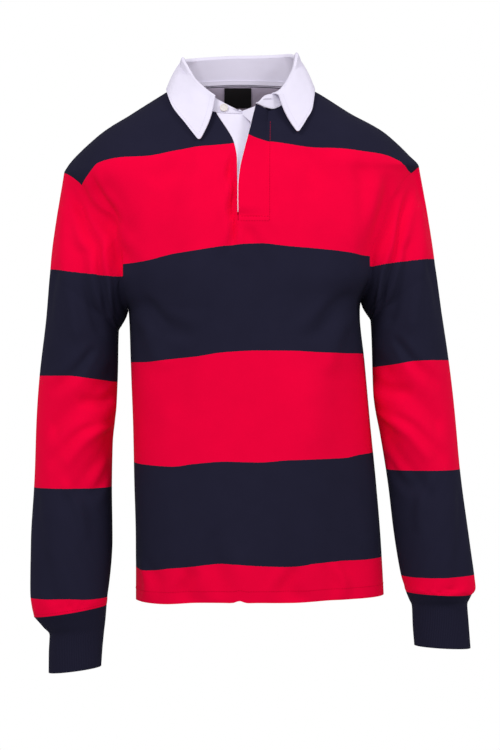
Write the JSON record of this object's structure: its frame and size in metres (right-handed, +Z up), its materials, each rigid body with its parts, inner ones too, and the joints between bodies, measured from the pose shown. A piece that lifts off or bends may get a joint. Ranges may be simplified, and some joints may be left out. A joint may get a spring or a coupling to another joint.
{
  "type": "rugby shirt",
  "caption": "Long-sleeve rugby shirt in wide navy and red hoops with a white collar, concealed placket and rib cuffs, filled out and hollow.",
  "frame": {"origin": "midway between the two points where the shoulder seams meet the collar, where the wearer's neck and shoulders hold the shirt up", "axes": "+Z up towards the collar, -Y out of the front, +X towards the wearer's left"},
  "size_m": [0.6015, 0.2485, 0.8432],
  "materials": {
    "jersey": "heavy cotton jersey in wide navy and red hoops, matt with a faint sheen",
    "rib": "navy cotton rib knit, matt",
    "twill": "white cotton twill, matt",
    "patch": "pale grey cotton, matt",
    "label": "black woven label, blank",
    "button": "white rubber, matt"
  },
  "bodies": {
    "root": {"front": "jersey", "back": "jersey", "sleeve_right": "jersey", "sleeve_left": "jersey", "placket_over": "jersey", "cuff_right": "rib", "cuff_left": "rib", "collar_stand": "twill", "collar_fall": "twill", "placket_facing": "twill", "placket_under": "twill", "neck_tape": "twill", "neck_patch": "patch", "neck_label": "label", "collar_button": "button", "placket_button_upper": "button", "placket_button_lower": "button"}
  },
  "joints": []
}
